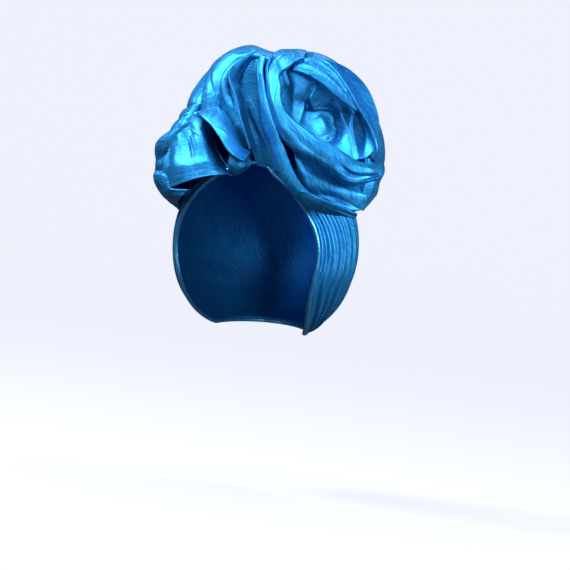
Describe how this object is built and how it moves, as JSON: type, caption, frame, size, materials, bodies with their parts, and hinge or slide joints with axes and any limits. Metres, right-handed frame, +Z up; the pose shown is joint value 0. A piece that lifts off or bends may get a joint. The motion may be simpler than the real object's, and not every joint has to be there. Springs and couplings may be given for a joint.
{
  "type": "pre-tied turban",
  "caption": "A pre-tied turban in blue slubbed taffeta: a pleated open cap, a gathered crown puff, and a wound rosette with a draped petal at the front",
  "frame": {"origin": "where the top of the head touches the inside of the cap", "axes": "+Z up along the head, -Y the way the wearer faces, +X to the wearer's left"},
  "size_m": [0.2135, 0.2021, 0.2473],
  "materials": {
    "taffeta": "slubbed satin",
    "taffeta_shaded": "slubbed satin",
    "piping": "satin"
  },
  "bodies": {
    "root": {"head_cap": "taffeta", "face_piping": "piping", "crown_puff": "taffeta", "side_puff": "taffeta_shaded", "front_petal": "taffeta", "petal_flap": "taffeta", "petal_tuck": "taffeta_shaded", "crown_ridge": "taffeta", "crown_fold": "taffeta_shaded", "centre_drape": "taffeta_shaded", "outer_wrap": "taffeta", "front_wrap": "taffeta", "lower_wrap": "taffeta_shaded", "top_flap": "taffeta", "upper_wrap": "taffeta", "outer_roll": "taffeta", "end_lobe": "taffeta_shaded", "rosette_heart": "taffeta"}
  },
  "joints": []
}
